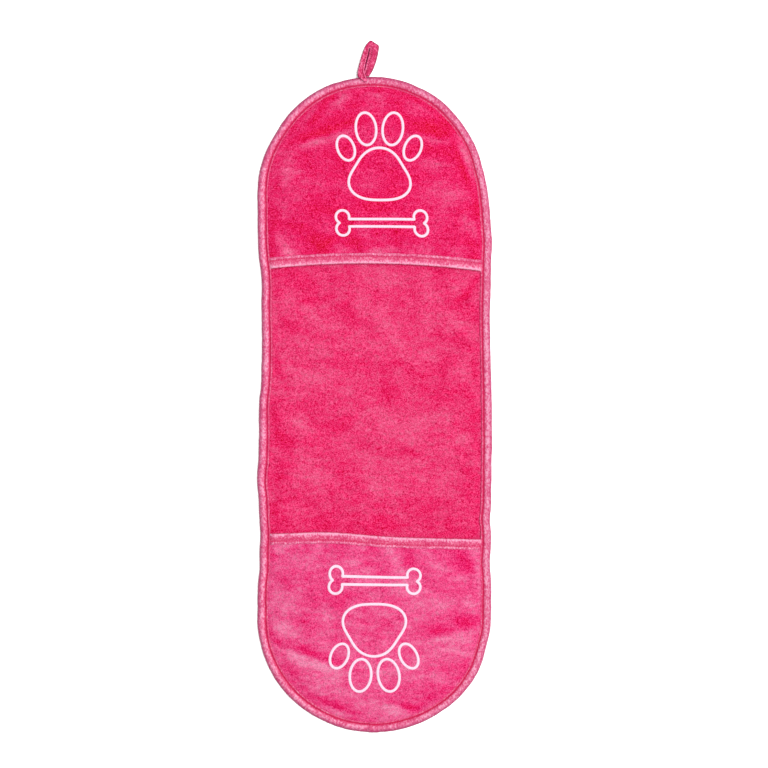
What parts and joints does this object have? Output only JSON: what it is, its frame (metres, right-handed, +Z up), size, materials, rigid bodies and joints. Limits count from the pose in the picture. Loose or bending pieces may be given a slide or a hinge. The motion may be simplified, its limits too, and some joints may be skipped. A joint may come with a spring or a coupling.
{
  "type": "paw drying towel",
  "caption": "Double-ended plush drying towel with a hand pocket at each rounded end, bound edges, outline embroidery and a tape hanging loop.",
  "frame": {"origin": "middle of the towel's underside, on its middle fold line, with the towel lying flat and face up", "axes": "+Z up out of the towel's face, +Y along the towel towards the end with the hanging loop, +X across the towel to the right"},
  "size_m": [0.278, 0.8318, 0.0157],
  "materials": {
    "plush_cloth": "short-pile velour with crushed nap",
    "binding_tape": "smooth woven bias tape with a soft sheen",
    "sewing_thread": "fine matt thread",
    "embroidery_thread": "satin embroidery thread"
  },
  "bodies": {
    "upper_half": {"upper_back_panel": "plush_cloth", "upper_edge_binding": "binding_tape", "upper_edge_stitching": "sewing_thread", "upper_pocket_rim": "plush_cloth", "loop_tails": "binding_tape", "loop_bartack": "sewing_thread"},
    "lower_half": {"lower_back_panel": "plush_cloth", "lower_edge_binding": "binding_tape", "lower_edge_stitching": "sewing_thread", "lower_pocket_rim": "plush_cloth", "binding_join": "binding_tape"},
    "upper_pocket": {"upper_pocket_front": "plush_cloth", "upper_mouth_binding": "binding_tape", "upper_mouth_stitching": "sewing_thread", "upper_paw_pad": "embroidery_thread", "upper_paw_toes": "embroidery_thread", "upper_bone": "embroidery_thread"},
    "lower_pocket": {"lower_pocket_front": "plush_cloth", "lower_mouth_binding": "binding_tape", "lower_mouth_stitching": "sewing_thread", "lower_paw_pad": "embroidery_thread", "lower_paw_toes": "embroidery_thread", "lower_bone": "embroidery_thread"},
    "loop": {"hanging_loop": "binding_tape", "loop_stitching": "sewing_thread"}
  },
  "joints": [
    {"name": "middle_fold", "type": "hinge", "parent": "upper_half", "child": "lower_half", "pos_m": [0, 0, 0.012], "axis": [-1, 0, 0], "range_deg": [0, 150]},
    {"name": "upper_pocket_lift", "type": "hinge", "parent": "upper_half", "child": "upper_pocket", "pos_m": [0, 0.3796, 0.005], "axis": [-1, 0, 0], "range_deg": [0, 8]},
    {"name": "lower_pocket_lift", "type": "hinge", "parent": "lower_half", "child": "lower_pocket", "pos_m": [0, -0.3796, 0.005], "axis": [1, 0, 0], "range_deg": [0, 8]},
    {"name": "loop_swing", "type": "hinge", "parent": "upper_half", "child": "loop", "pos_m": [-0.012, 0.3966, 0.0055], "axis": [1, 0, 0], "range_deg": [0, 120]}
  ]
}
